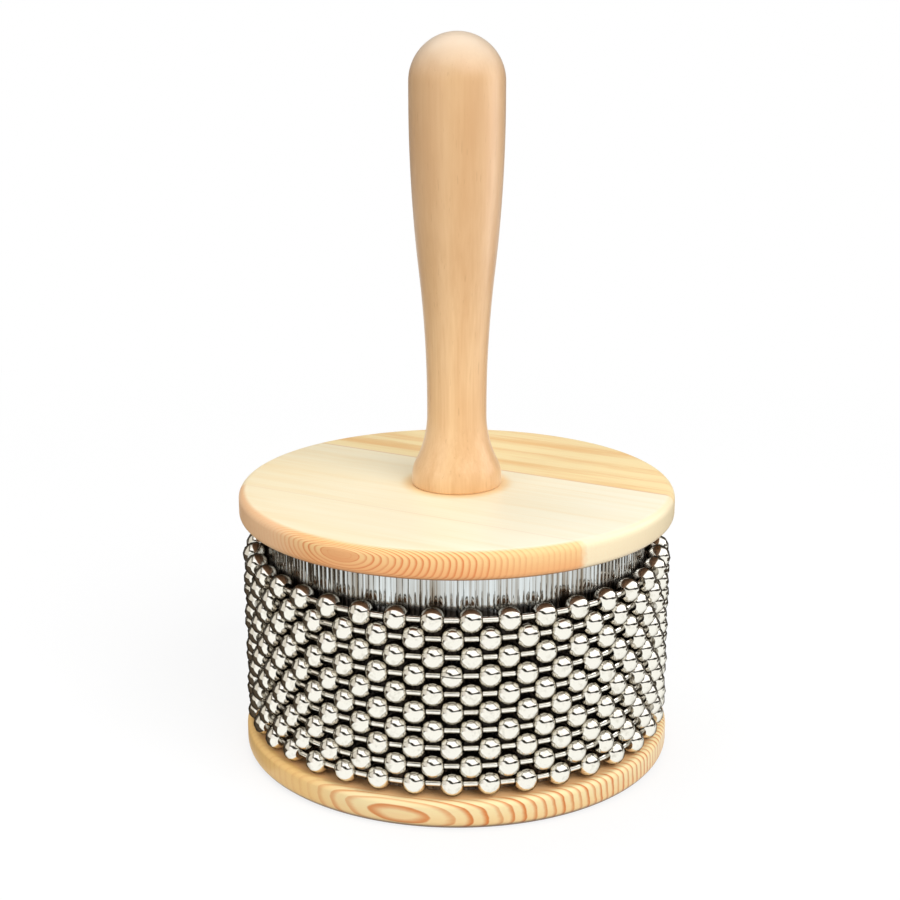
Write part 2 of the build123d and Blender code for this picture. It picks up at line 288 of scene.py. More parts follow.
@dataclass(frozen=True)
class PineFinish(Finish):
    """Lacquered pine disc glued up from boards, with growth rings that show on the front edge.

    The rings lie round a pith line beside the front board, so they show as long ovals on the edge
    nearest to it, as bows on the edge further round, and as faint straight lines on the flat faces.
    """

    disc_radius: float
    grain_turn: float  # degrees from +X
    rings: Rings
    contrast: float
    edge: Colour
    edge_low: Colour
    edge_late: Colour
    plain: Colour  # of the edge where the rings fade
    fade_in: Pair  # places along the grain where the rings start and are full
    fade_out: Pair  # and where they thin out again
    bottom: float
    top: float
    under: Colour  # painted shade of the underside and its rounded edge
    under_shade_reach: Pair  # heights above the bottom between which the painted shade fades
    contact_shade: Colour  # painted contact shade round what stands on the disc
    contact_shade_reach: Pair  # radii between which the painted contact shade fades
    edge_reach: Pair  # distances inside the rim where the face gives way to the edge
    front_joint: Optional[float] = None  # places of the glue lines across the grain
    back_joint: Optional[float] = None
    face: Colour = srgb(253, 242, 211)
    face_late: Colour = srgb(247, 222, 172)
    face_sheen: Colour = srgb(254, 249, 228)  # painted sheen, towards the right end of the grain
    middle_edge: Colour = srgb(253, 237, 199)
    back_face: Colour = srgb(255, 232, 178)
    back_late: Colour = srgb(242, 190, 122)
    joint: Colour = srgb(220, 156, 106)
    joint_width: Pair = (0.1 * MM, 0.5 * MM)  # half widths of a glue line, dark and faded
    contact_shade_share: float = 0.6
    warm_reach: Pair = (-55.0 * MM, -10.0 * MM)  # places along the grain between which the face cools
    sheen_reach: Pair = (-10.0 * MM, 50.0 * MM)  # and between which the painted sheen pales it
    front_wear: Pair = (-0.7 * MM, 1.5 * MM)  # how far the boards blend at a joint
    back_wear: Pair = (-0.5 * MM, 0.8 * MM)
    front_stray: float = 2.5 * MM  # how unevenly
    back_stray: float = 1.6 * MM

    def paint(self, graph: Graph) -> None:
        """Adds the boards with their rings and glue lines, a painted sheen towards the right end of the
        grain, a painted contact shade round what stands on the disc, and a painted shade on the underside.

        Args:
            graph: The material's graph.
        """
        turned = {"Vector": graph.place(), "Rotation": (0.0, 0.0, -math.radians(self.grain_turn))}
        grain = graph.node("ShaderNodeMapping", {"vector_type": "POINT"}, turned)
        along, across, height = graph.parts(grain)
        radius = graph.length(along, across)
        shown = graph.step(along, *self.fade_in)
        fading = 1.0 - graph.step(along, *self.fade_out) * 0.7
        late = self._late_wood(graph, grain) * (shown * 0.85 + 0.15) * fading
        fibre = graph.noise(grain, (90.0, 2600.0, 2600.0), 3.0, 0.6) - 0.5
        cloud = graph.noise(grain, (9.0, 26.0, 26.0), 3.0) - 0.5
        fleck = graph.noise(grain, (40.0, 420.0, 420.0), 2.0) - 0.5
        streak = graph.noise(grain, (6.0, 240.0, 60.0), 3.0, 0.65) - 0.5
        warm = 1.0 - graph.step(along, *self.warm_reach)
        face_share = late * 0.12 + cloud * 0.9 + fibre * 0.3 + fleck * 0.5 + streak * 0.9 + warm * 0.25
        # painted sheen: the face pales towards the right end of the grain
        paling = graph.step(along + cloud * (20.0 * MM), *self.sheen_reach) * 0.7
        pale = graph.mix(self.face, self.face_sheen, paling)
        face = graph.mix(pale, self.face_late, graph.step(face_share, -0.25, 0.9))
        lower = graph.step(height, self.top - 1.5 * MM, self.bottom + 1.0 * MM)
        early = graph.mix(self.plain, graph.mix(self.edge, self.edge_low, lower), shown)
        edge = graph.mix(early, self.edge_late, late * self.contrast + fibre * 0.25 + fleck * 0.15)
        if self.front_joint is not None:
            worn = across + fleck * self.front_stray - self.front_joint
            past_front = graph.step(worn, *self.front_wear)
            edge = graph.mix(edge, self.middle_edge, past_front * (0.9 - fibre * 0.3))
            face = self._glue_line(graph, face, across - self.front_joint, 0.12)
        if self.back_joint is not None:
            streaks = graph.noise(grain, (11.0, 190.0, 60.0), 3.0, 0.6)
            back_share = graph.step(streaks + fibre * 0.4, 0.4, 0.75) * 0.8
            back = graph.mix(self.back_face, self.back_late, back_share)
            frayed = across + (streaks - 0.5) * self.back_stray - self.back_joint
            past_back = graph.step(frayed, *self.back_wear)
            face = graph.mix(face, back, past_back)
            edge = graph.mix(edge, back, past_back)
            face = self._glue_line(graph, face, across - self.back_joint, 0.5)
        inner, outer = self.edge_reach
        rim = self.disc_radius
        colour = graph.mix(face, edge, graph.step(radius, rim - inner, rim - outer))
        # painted contact shade on the top face round what stands on it
        on_top = graph.step(height, self.top - 1.2 * MM, self.top - 0.3 * MM)
        contact_shaded = (1.0 - graph.step(radius, *self.contact_shade_reach)) * on_top * self.contact_shade_share
        colour = graph.mix(colour, self.contact_shade, contact_shaded)
        # painted shade on the underside and its rounded edge
        below = 1.0 - graph.step(height - self.bottom, *self.under_shade_reach)
        graph.surface(
            graph.mix(colour, self.under, below * 0.9),
            0.46 + fibre * 0.16 - late * 0.06,
            graph.bump(late * 0.12 + fibre * 0.7, 0.06 * MM, 0.35),
            {"Coat Weight": 0.2, "Coat Roughness": 0.3, "Specular IOR Level": 0.4},
        )

    def _late_wood(self, graph: Graph, grain: Value) -> Value:
        """Dark late wood of the rings, some of them fainter by chance.

        The ring number is a power of the distance to the pith line, bent by slow noise; its fraction
        rises through pale early wood to a thin dark late line and drops at once.

        Args:
            graph: The material's graph.
            grain: Coordinates turned along the grain.

        Returns:
            Share of late wood from 0 to 1.
        """
        rings = self.rings
        along, across, height = graph.parts(grain)
        beside = across + (self.disc_radius + rings.pith_gap)
        above = height - rings.pith_height + along * rings.pith_fall
        bend = graph.noise(grain, (16.0, 90.0, 90.0), 2.0) - 0.5
        shake = graph.noise(grain, (70.0, 520.0, 520.0), 1.0) - 0.5
        distance = graph.length(beside, above) + bend * rings.unevenness + shake * (0.27 * rings.unevenness)
        steps = graph.maths("MAXIMUM", (distance - rings.pith_gap) / rings.first_gap, 0.0)
        number = steps**rings.growth + rings.phase
        part = graph.maths("FRACT", number)
        whole = graph.maths("FLOOR", number)
        chance = graph.node("ShaderNodeTexWhiteNoise", {"noise_dimensions": "1D"}, {"W": whole})
        strength = graph.noise(grain, (7.0, 160.0, 160.0), 1.0)
        line = graph.step(part, 0.42, 0.88) * (1.0 - graph.step(part, 0.9, 1.0))
        heart = 1.0 - graph.step(number, 0.5, 0.9)
        return graph.maths("MAXIMUM", line * (0.25 + strength * 0.8 + chance * 0.5), heart * rings.heart)

    def _glue_line(self, graph: Graph, face: Value, off: Value, depth: float) -> Value:
        """Face colour with a thin darker line where the distance off a joint is small."""
        clear = graph.step(graph.maths("ABSOLUTE", off), *self.joint_width)
        return graph.mix(self.joint, face, clear * depth + (1.0 - depth))


@dataclass(frozen=True)
class HardwoodFinish(Finish):
    """Smooth pale hardwood under satin lacquer, with fine upright grain and short dark pores."""

    pale: Colour = srgb(239, 199, 148)
    dark: Colour = srgb(216, 167, 113)
    pore: Colour = srgb(190, 140, 90)
    handled: Colour = srgb(208, 160, 108)  # where hands have darkened it
    # end grain of the dome, paled by a painted sheen from above
    end: Colour = srgb(221, 203, 180)
    grip_reach: Pair = (1.0, 2.0)  # heights between which the handled part starts, or out of reach
    end_grain_sheen_bottom: float = 1.0  # height above which the end grain pales with a painted sheen from above, or out of reach
    end_grain_sheen_fade: float = 11.0 * MM

    def paint(self, graph: Graph) -> None:
        """Adds broad soft bands, fine fibres and pores, all drawn out along Z.

        Args:
            graph: The material's graph.
        """
        place = graph.place()
        height = graph.parts(place)[2]
        bands = graph.noise(place, (95.0, 95.0, 7.0), 3.0, 0.55)
        fibre = graph.noise(place, (1500.0, 1500.0, 45.0), 3.0, 0.6)
        mottle = graph.noise(place, (150.0, 150.0, 60.0), 2.0)
        pores = graph.step(graph.noise(place, (2300.0, 2300.0, 190.0), 1.0), 0.68, 0.76)
        share = graph.step(bands * 0.8 + fibre * 0.35 + mottle * 0.3, 0.42, 1.0)
        clean = graph.mix(self.pale, self.dark, share)
        side = graph.mix(clean, self.handled, graph.step(height, *self.grip_reach) * (0.2 + mottle * 0.5))
        side = graph.mix(side, self.pore, pores * 0.35)
        # the dome pales: end grain, with a painted sheen from above
        paling = graph.step(height, self.end_grain_sheen_bottom, self.end_grain_sheen_bottom + self.end_grain_sheen_fade)
        lacquer = {"Coat Weight": 0.7, "Coat Roughness": 0.3, "Specular IOR Level": 0.45}
        graph.surface(
            graph.mix(side, self.end, paling * (0.9 - mottle * 0.3)),
            0.4 + fibre * 0.12,
            graph.bump(fibre - pores * 0.5, 0.03 * MM, 0.25),
            {**lacquer, "Sheen Weight": 0.25, "Sheen Roughness": 0.4},
        )


@dataclass(frozen=True)
class NickelFinish(Finish):
    """Polished nickel plate with faint dents and smears, a painted dark reflection at its glancing rim, and
    on a rolled ball its dark joint and painted shade on its flats and on the sides that face the other
    loops.
    """

    colour: Colour = srgb(239, 234, 224)
    tarnish: Colour = srgb(196, 187, 170)
    loop_shade: Colour = srgb(88, 78, 66)  # painted shade on the sides that face the loops above and below
    loop_shade_slopes: Pair = (0.7, 0.98)  # where it starts and is full; at 1 the side is level
    rim: Colour = (0.06, 0.05, 0.04)  # painted dark reflection: what it mirrors at a glancing angle
    # colour of the joint, and of the painted shade round the pin on each flat
    seam: Colour = srgb(60, 54, 48)
    seam_width: float = 0.012  # of a turn round the ball
    has_seam: bool = True

    def paint(self, graph: Graph) -> None:
        """Adds smears and dents, and on a ball its painted shade and joint.

        The joint is where the UV map closes, the painted shade between the loops follows the attribute
        slope, and the flats get a painted shade of the pin hole.

        Args:
            graph: The material's graph.
        """
        place = graph.place()
        smear = graph.noise(place, (420.0, 420.0, 420.0), 3.0, 0.6)
        relief = graph.noise(place, (260.0, 260.0, 260.0), 1.0)
        colour = graph.mix(self.colour, self.tarnish, graph.step(smear, 0.5, 0.85) * 0.6)
        if self.has_seam:
            slope = graph.node("ShaderNodeAttribute", {"attribute_name": "slope"}, output="Fac")
            # painted shade on the sides that face the loops above and below
            colour = graph.mix(colour, self.loop_shade, graph.step(slope, *self.loop_shade_slopes) * 0.5)
            around, band, _ = graph.parts(graph.node("ShaderNodeUVMap", {"uv_map": "UVMap"}))
            from_joint = graph.maths("MINIMUM", around, 1.0 - around)
            joint = 1.0 - graph.step(from_joint, self.seam_width * 0.4, self.seam_width)
            # painted shade of the pin's hole on each flat
            flat = 1.0 - graph.step(band, -0.6, -0.4)
            colour = graph.mix(colour, self.seam, graph.maths("MAXIMUM", joint * 0.85, flat * 0.35))
            relief = relief - joint * 0.4
        # the Specular Tint gives a painted dark reflection at the rim
        graph.surface(
            colour,
            0.07 + smear * 0.09,
            graph.bump(relief, 0.12 * MM, 0.35),
            {"Metallic": 1.0, "Specular Tint": self.rim},
        )


@dataclass(frozen=True)
class SheetSteelFinish(Finish):
    """Rolled bright steel, streaked up and down and dull in its troughs, with painted shade behind the
    chain.
    """

    crest_radius: float
    trough_radius: float
    # heights between which shade is painted on the sleeve behind the chain
    shade_bottom: float
    shade_top: float
    shade_fade: float = 1.0 * MM
    shade_stray: float = 6.0 * MM
    bright: Colour = srgb(216, 220, 221)
    dull: Colour = srgb(134, 120, 102)
    # painted shade of the sleeve behind the chain
    chain_shade: Colour = srgb(56, 44, 36)

    def paint(self, graph: Graph) -> None:
        """Adds dirt by the distance from the drum's axis, and painted shade behind the chain by the height.

        Args:
            graph: The material's graph.
        """
        place = graph.place()
        x, y, height = graph.parts(place)
        crest = graph.step(graph.length(x, y), self.trough_radius, self.crest_radius)
        streak = graph.noise(place, (700.0, 700.0, 9.0), 3.0, 0.65)
        worn = graph.noise(place, (160.0, 160.0, 40.0), 2.0)
        share = graph.step(crest * 0.3 + streak * 1.2 + worn * 0.5, 0.75, 1.3)
        # painted shade where the chain covers the sleeve
        level = height + (worn - 0.5) * self.shade_stray
        above_low = graph.step(level, self.shade_bottom - self.shade_fade, self.shade_bottom + self.shade_fade)
        below_high = 1.0 - graph.step(level, self.shade_top - self.shade_fade, self.shade_top + self.shade_fade)
        chain_shading = above_low * below_high
        steel = graph.mix(self.dull, self.bright, share)
        graph.surface(
            graph.mix(steel, self.chain_shade, chain_shading * 0.95),
            0.14 - share * 0.05 + chain_shading * 0.26,
            graph.bump(streak, 0.03 * MM, 0.3),
            {"Metallic": 1.0},
        )


@dataclass(frozen=True)
class FittingFinish(Finish):
    """Plain plated or turned metal of a hidden fitting, with fine rings and handling marks."""

    colour: Colour
    marked: Colour
    roughness: float

    def paint(self, graph: Graph) -> None:
        """Adds turning rings and handling marks.

        Args:
            graph: The material's graph.
        """
        place = graph.place()
        marks = graph.noise(place, (380.0, 380.0, 380.0), 4.0, 0.65)
        rings = graph.noise(place, (60.0, 60.0, 4200.0), 1.0)
        share = graph.step(marks * 0.8 + rings * 0.3, 0.45, 0.85)
        graph.surface(
            graph.mix(self.colour, self.marked, share),
            self.roughness + marks * 0.15,
            graph.bump(rings + marks * 0.5, 0.03 * MM, 0.3),
            {"Metallic": 1.0},
        )


@dataclass
class Surface:
    """Points and faces of one mesh; faces are arrays with one row of point numbers per face."""

    points: np.ndarray
    faces: list[np.ndarray]

    def volume(self) -> float:
        """Signed volume of the closed mesh, from fans of triangles to the origin.

        Returns:
            A positive number where the faces point outwards.
        """
        total = 0.0
        for rows in self.faces:
            corners = self.points[rows]
            first, rest = corners[:, :1], corners[:, 1:]
            cross = np.cross(rest[:, :-1], rest[:, 1:])
            total += float((cross * first).sum()) / 6
        return total

    def outward(self) -> "Surface":
        """The same surface with its faces turned to point outwards."""
        way = 1 if self.volume() > 0 else -1
        return Surface(self.points, [rows[:, ::way] for rows in self.faces])

    def mesh(self, name: str, sharp_angle: float = 60.0) -> bpy.types.Mesh:
        """Smooth Blender mesh with sharp edges.

        Args:
            name: The mesh's name.
            sharp_angle: Turn in degrees past which an edge is sharp.

        Returns:
            The mesh.
        """
        made = bpy.data.meshes.new(name)
        made.from_pydata(self.points.tolist(), [], [row for rows in self.faces for row in rows.tolist()])
        made.shade_smooth()
        made.set_sharp_from_angle(angle=math.radians(sharp_angle))
        made.validate()
        return made


def grid_faces(rows: int, columns: int, ring: bool = False, closed: bool = False) -> np.ndarray:
    """Quads over a grid of points numbered row by row.

    Args:
        rows, columns: Size of the grid.
        ring: Joins the last column to the first.
        closed: Joins the last row to the first.

    Returns:
        One row of four point numbers per quad.
    """
    numbers = np.arange(rows * columns).reshape(rows, columns)
    right, up = np.roll(numbers, -1, 1), np.roll(numbers, -1, 0)
    corner = np.roll(right, -1, 0)
    quads = np.stack([numbers, right, corner, up], -1)
    quads = quads[: rows if closed else rows - 1, : columns if ring else columns - 1]
    return quads.reshape(-1, 4)


def turned(profile: np.ndarray, columns: int, closed: bool) -> Surface:
    """Profile of (radius, height) turned round Z: each point is (r cos t, r sin t, z).

    Args:
        profile: Points in order; an open profile starts and ends on the axis.
        columns: Steps round the axis.
        closed: Whether the profile is a loop that leaves the axis open.

    Returns:
        A closed surface, with one point at each pole of an open profile.
    """
    rings = profile if closed else profile[1:-1]
    turn = np.linspace(0, 2 * np.pi, columns, endpoint=False)
    radius, height = rings[:, :1], rings[:, 1:]
    level = np.broadcast_to(height, (len(rings), columns))
    points = np.stack([radius * np.cos(turn), radius * np.sin(turn), level], -1).reshape(-1, 3)
    faces = [grid_faces(len(rings), columns, True, closed)]
    if not closed:
        poles = np.array([[0, 0, profile[0, 1]], [0, 0, profile[-1, 1]]])
        base, column = len(points), np.arange(columns)
        following = np.roll(column, -1)
        last = base - columns
        first_fan = np.stack([following, column, np.full(columns, base)], -1)
        last_fan = np.stack([column + last, following + last, np.full(columns, base + 1)], -1)
        points, faces = np.concatenate([points, poles]), faces + [first_fan, last_fan]
    return Surface(points, faces).outward()


def arc(centre: Pair, radius: float, start: float, end: float, steps: int) -> np.ndarray:
    """Points (r, z) on an arc, from a start to an end angle in degrees from the +r direction."""
    angle = np.radians(np.linspace(start, end, steps))
    return np.stack([centre[0] + radius * np.cos(angle), centre[1] + radius * np.sin(angle)], -1)


def ogee(wide: Pair, narrow: Pair, bulge_share: float, steps: int) -> np.ndarray:
    """Two tangent arcs, upright at both ends: a bulge at the wide end and a hollow at the narrow one.

    Args:
        wide, narrow: End points (r, z).
        bulge_share: The bulge's part of the two radii together.
        steps: Points on each arc.

    Returns:
        Points (r, z) from the wide end to the narrow one.
    """
    width, rise = wide[0] - narrow[0], narrow[1] - wide[1]
    lean = 2 * math.atan2(width, abs(rise))
    radii = rise / math.sin(lean)
    bulge, hollow = radii * bulge_share, radii * (1 - bulge_share)
    angle = np.linspace(0, lean, steps)
    first = np.stack([wide[0] - abs(bulge) * (1 - np.cos(angle)), wide[1] + bulge * np.sin(angle)], -1)
    back = angle[::-1]
    second = np.stack([narrow[0] + abs(hollow) * (1 - np.cos(back)), narrow[1] - hollow * np.sin(back)], -1)
    return np.concatenate([first, second[1:]])


def add_piece(
    name: str, mesh: bpy.types.Mesh, finish: bpy.types.Material, slot: Slot, body: str, *nodes: str
) -> None:
    """Puts a mesh into the scene as a piece of the part.

    Args:
        name: The piece's name.
        mesh: Its mesh, in the part's frame.
        finish: Its material.
        slot: The record's slot for its finish; not used.
        body: The body that it rides on.
        nodes: The CAD nodes that it stands for.
    """
    mesh.materials.append(finish)
    piece = bpy.data.objects.new(name, mesh)
    bpy.context.scene.collection.objects.link(piece)
    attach(piece, body)
    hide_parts(*nodes)
    LOG.info("%s: %d faces, rides on %s", name, len(mesh.polygons), body)


def dress_node(node: str, finish: Finish) -> None:
    """Gives a CAD node that stays in the scene its finish.

    Args:
        node: The node's name.
        finish: Its finish.
    """
    material = finish.material()
    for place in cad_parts[node].material_slots:
        place.material = material
    LOG.info("%s: CAD node, dressed in %s", node, finish.name)


@dataclass
class Handle:
    """The turned handle, with the bore for its insert and the bolt's tip."""

    bottom: float
    length: float
    grip_radius: float
    grip_straight: float = 5.0 * MM
    grip_bulge: float = 0.55  # part of the swell that bulges
    neck_radius: float = 7.65 * MM
    neck_height: float = 18.5 * MM
    neck_straight: float = 2.5 * MM
    foot_radius: float = 11.6 * MM
    foot_band: float = 2.2 * MM
    foot_break: float = 0.5 * MM
    foot_bulge: float = 0.235  # part of the flare that bulges
    insert_radius: float = 4.75 * MM
    insert_depth: float = 13.5 * MM
    bolt_depth: float = 17.0 * MM
    held: Pair = (35.0 * MM, 70.0 * MM)  # heights above the foot between which hands darken it
    columns: int = 120
    break_steps: int = 6
    flare_steps: int = 18
    grip_steps: int = 30
    sharp_angle: float = 40.0

    @classmethod
    def from_frame(cls) -> "Handle":
        """Handle at the place and size of its CAD node."""
        low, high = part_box("handle")
        return cls(bottom=low.z, length=high.z - low.z, grip_radius=(high.x - low.x) / 2)

    def profile(self) -> np.ndarray:
        """Outline (r, z) from the end of the bore, round the foot and up to the top of the dome.

        Returns:
            Points in order, both ends on the axis.
        """
        neck_top = self.neck_height + self.neck_straight
        dome_bottom = self.length - self.grip_radius
        grip = (self.grip_radius, dome_bottom - self.grip_straight)
        bore = [
            (0, self.bolt_depth),
            (BOLT_HOLE, self.bolt_depth),
            (BOLT_HOLE, self.insert_depth),
            (self.insert_radius, self.insert_depth),
            (self.insert_radius, 0),
        ]
        rounding = self.foot_break
        foot = arc((self.foot_radius - rounding, rounding), rounding, -90, 0, self.break_steps)
        neck = (self.neck_radius, self.neck_height)
        flare = ogee((self.foot_radius, self.foot_band), neck, self.foot_bulge, self.flare_steps)
        swell = ogee(grip, (self.neck_radius, neck_top), self.grip_bulge, self.grip_steps)[::-1]
        dome = arc((0, dome_bottom), self.grip_radius, 0, 90, self.grip_steps)
        outline = np.concatenate([np.array(bore), foot, flare, swell, dome])
        outline[-1, 0] = 0
        return outline + np.array([0, self.bottom])

    def build(self) -> None:
        """Makes the handle and gives it its finish."""
        mesh = turned(self.profile(), self.columns, False).mesh("turned_handle", self.sharp_angle)
        end_grain_sheen_bottom = self.bottom + self.length - self.grip_radius
        grip_reach = (self.bottom + self.held[0], self.bottom + self.held[1])
        finish = HardwoodFinish("handle_hardwood", grip_reach=grip_reach, end_grain_sheen_bottom=end_grain_sheen_bottom).material()
        add_piece("turned_handle", mesh, finish, Slot.TURNED_WOOD, "drum", "handle")


@dataclass
class Disc:
    """One of the two end discs, a round board with eased edges and a hole for the bolt."""

    name: str
    node: str
    radius: float
    bottom: float
    top: float
    bottom_round: float
    top_round: float
    recess: float  # radius of the head's recess underneath, or the hole's own
    rim: float = 0.8 * MM  # straight part of the recess
    columns: int = 192
    face_steps: int = 6
    round_steps: int = 9
    sharp_angle: float = 35.0

    @classmethod
    def from_frame(cls, name: str, node: str, outer_on_top: bool, recess: float) -> "Disc":
        """Disc at the place and size of its CAD node.

        Args:
            name: The piece's name.
            node: The CAD node's name.
            outer_on_top: Whether its upper side faces away from the chain, and has the larger round.
            recess: Radius of the recess for the bolt's head, or of the hole.

        Returns:
            The disc.
        """
        low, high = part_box(node)
        rounds = (INNER_ROUND, OUTER_ROUND) if outer_on_top else (OUTER_ROUND, INNER_ROUND)
        return cls(name, node, (high.x - low.x) / 2, low.z, high.z, *rounds, recess)

    def profile(self) -> np.ndarray:
        """Closed section (r, z), anticlockwise from the inner edge of the bottom face.

        Returns:
            Points in order.
        """
        bottom_centre = (self.radius - self.bottom_round, self.bottom + self.bottom_round)
        top_centre = (self.radius - self.top_round, self.top - self.top_round)
        flare = self.recess - BOLT_HOLE
        start, corner = (self.recess, self.bottom), (BOLT_HOLE, self.top)
        recess = [(self.recess, self.bottom + self.rim), start]
        parts = [
            np.array([(BOLT_HOLE, self.bottom + self.rim + flare)] + (recess if flare > 0 else [])),
            np.linspace(start, (bottom_centre[0], self.bottom), self.face_steps)[1:-1],
            arc(bottom_centre, self.bottom_round, -90, 0, self.round_steps),
            arc(top_centre, self.top_round, 0, 90, self.round_steps),
            np.linspace((top_centre[0], self.top), corner, self.face_steps)[1:],
        ]
        return np.concatenate(parts)

    def build(self, finish: PineFinish) -> None:
        """Makes the disc and gives it its finish."""
        mesh = turned(self.profile(), self.columns, True).mesh(self.name, self.sharp_angle)
        add_piece(self.name, mesh, finish.material(), Slot.DISC_WOOD, "drum", self.node)


@dataclass
class Sleeve:
    """The ribbed sheet round the core: arcs of crests and troughs, uneven as rolled sheet is."""

    crest_radius: float
    bottom: float
    top: float
    sheet: float = 0.3 * MM
    rise: float = 0.16 * MM
    ribs: int = 206
    margin: float = 3.7 * MM
    margin_steps: int = 6
    seam_gap: float = 0.4 * MM
    samples: int = 12  # along each rib
    levels: int = 4
    unevenness: float = 0.4
    groove_power: int = 8
    groove_floor: float = 0.6  # most that a groove is filled, by chance
    tilt: float = 0.07 * MM  # how much higher one side of a crest lies, by chance
    steepest: float = 0.15 * MM
    shade_drop: float = 1.6 * MM  # top of the painted shade behind the chain, below the top of the highest balls

    @classmethod
    def from_frame(cls) -> "Sleeve":
        """Sleeve at the place and size of its CAD node."""
        low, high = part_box("ribbed_sleeve")
        return cls(crest_radius=(high.x - low.x) / 2, bottom=low.z, top=high.z)

    @property
    def trough_radius(self) -> float:
        """Radius of the sheet's middle at the bottom of a trough."""
        return self.crest_radius - self.sheet / 2 - 2 * self.rise

    def wave(self) -> tuple[np.ndarray, np.ndarray]:
        """Middle line of the sheet from one edge of the seam round to the other.

        Between the plain margins the radius is the trough's plus a rise for each rib: a flat crest that
        gives way to a groove at each end as a high power of the cosine across the rib. Height, tilt and
        place of each crest and the depth of each groove differ by seeded chance.

        Returns:
            Angles from the back and radii.
        """
        rng = np.random.default_rng(SEED)
        plain = (self.margin + self.seam_gap / 2) / self.trough_radius
        rib = (2 * np.pi - 2 * plain) / self.ribs
        part = np.arange(self.ribs * self.samples + 1) / self.samples
        number = np.minimum(part.astype(int), self.ribs - 1)
        height = 1 - self.unevenness * rng.random(self.ribs)[number]
        skew = self.unevenness * rng.uniform(-1, 1, self.ribs)[number]
        tilt = np.clip(rng.normal(0, self.tilt, self.ribs), -self.steepest, self.steepest)[number]
        floor = rng.uniform(0, self.groove_floor, self.ribs + 1)[np.rint(part).astype(int)]
        local = part - number
        crest = 2 * self.rise * height - abs(tilt) / 2 + tilt * (local - 0.5)
        groove = np.cos(np.pi * (local + skew * local * (1 - local))) ** self.groove_power
        rising = crest * (1 - groove) + 2 * self.rise * (1 - self.unevenness) * floor * groove
        edge = np.linspace(self.seam_gap / 2 / self.trough_radius, plain, self.margin_steps)[:-1]
        angle = np.concatenate([edge, plain + rib * part, 2 * np.pi - edge[::-1]])
        flat = np.zeros(len(edge))
        return angle, self.trough_radius + np.concatenate([flat, rising, flat])

    def surface(self) -> Surface:
        """Thin section carried along the wave: outer face up, inner face down, closed at both edges.

        Returns:
            The closed sheet.
        """
        angle, radius = self.wave()
        across = np.gradient(radius) / (np.gradient(angle) * radius)
        lean = angle - np.arctan(across)
        middle = np.stack([radius * np.sin(angle), radius * np.cos(angle)], -1)
        normal = np.stack([np.sin(lean), np.cos(lean)], -1) * self.sheet / 2
        heights = np.linspace(self.bottom, self.top, self.levels)[:, None, None]
        level = np.broadcast_to(heights, (self.levels, len(angle), 1))
        faces = [np.tile(face, (self.levels, 1, 1)) for face in (middle + normal, middle - normal)]
        outer, inner = (np.concatenate([face, level], -1) for face in faces)
        points = np.concatenate([outer, inner[::-1]])
        rows, columns = points.shape[:2]
        up = np.arange(rows // 2 - 1)
        down = rows - 1 - up
        numbers = np.arange(rows * columns).reshape(rows, columns)
        first, last = numbers[:, 0], numbers[:, -1]
        caps = [
            np.stack([side[up], side[up + 1], side[down - 1], side[down]], -1)[:, ::turn]
            for side, turn in ((first, -1), (last, 1))
        ]
        return Surface(points.reshape(-1, 3), [grid_faces(rows, columns, closed=True), *caps]).outward()

    def build(self) -> None:
        """Makes the sheet and gives it its finish."""
        # the sleeve's painted shade spans the chain's balls
        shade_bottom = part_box("chain_01_balls")[0].z
        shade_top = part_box("chain_10_balls")[1].z - self.shade_drop
        radii = (self.crest_radius, self.trough_radius)
        finish = SheetSteelFinish("sleeve_sheet", *radii, shade_bottom, shade_top).material()
        mesh = self.surface().mesh("ribbed_sheet")
        add_piece("ribbed_sheet", mesh, finish, Slot.SLEEVE_STEEL, "drum", "ribbed_sleeve")


